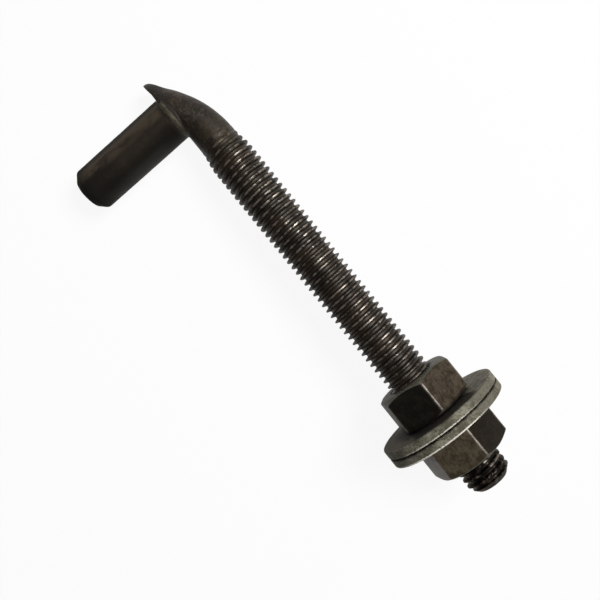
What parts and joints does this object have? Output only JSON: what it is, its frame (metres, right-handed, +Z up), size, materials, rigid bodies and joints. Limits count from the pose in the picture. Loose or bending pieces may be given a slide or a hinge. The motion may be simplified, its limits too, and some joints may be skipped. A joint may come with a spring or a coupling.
{
  "type": "j bolt",
  "caption": "Gate hinge J bolt: a threaded shank bent at right angles into a plain hinge pin, with hex nuts and flat washers that clamp a gate post",
  "frame": {"origin": "On the floor that the bolt lies on, under the middle of its box", "axes": "+X towards the threaded tip, -Y roughly the way the hinge pin points, +Z up"},
  "size_m": [0.1748, 0.0686, 0.0441],
  "materials": {
    "black_steel": "dark mill scale on forged steel",
    "nut_steel": "dark oxide, worn bright on the corners",
    "washer_steel": "dull grey steel, worn bright on the rim"
  },
  "bodies": {
    "bolt": {"j_bolt": "black_steel"},
    "inner_washer": {"inner_washer": "washer_steel"},
    "inner_nut": {"inner_nut": "nut_steel"},
    "outer_washer": {"outer_washer": "washer_steel"},
    "outer_nut": {"outer_nut": "nut_steel"}
  },
  "joints": [
    {"name": "inner_washer_slide", "type": "slide", "parent": "bolt", "child": "inner_washer", "axis": [0.9949, 0, 0.101], "range_m": [-0.09238, 0]},
    {"name": "inner_nut_turn", "type": "hinge", "parent": "inner_washer", "child": "inner_nut", "pos_m": [0.0509, 0.01238, 0.02108], "axis": [0.9949, 0, 0.101], "range_deg": [-14400, 0]},
    {"name": "outer_washer_slide", "type": "slide", "parent": "bolt", "child": "outer_washer", "axis": [0.9949, 0, 0.101], "range_m": [0, 0.02311]},
    {"name": "outer_nut_turn", "type": "hinge", "parent": "outer_washer", "child": "outer_nut", "pos_m": [0.0702, 0.01238, 0.02303], "axis": [0.9949, 0, 0.101], "range_deg": [0, 3600]}
  ],
  "couplings": [
    {"joint": "inner_washer_slide", "follows": "inner_nut_turn", "m_per_rad": 0.0003675},
    {"joint": "outer_washer_slide", "follows": "outer_nut_turn", "m_per_rad": 0.0003675}
  ]
}
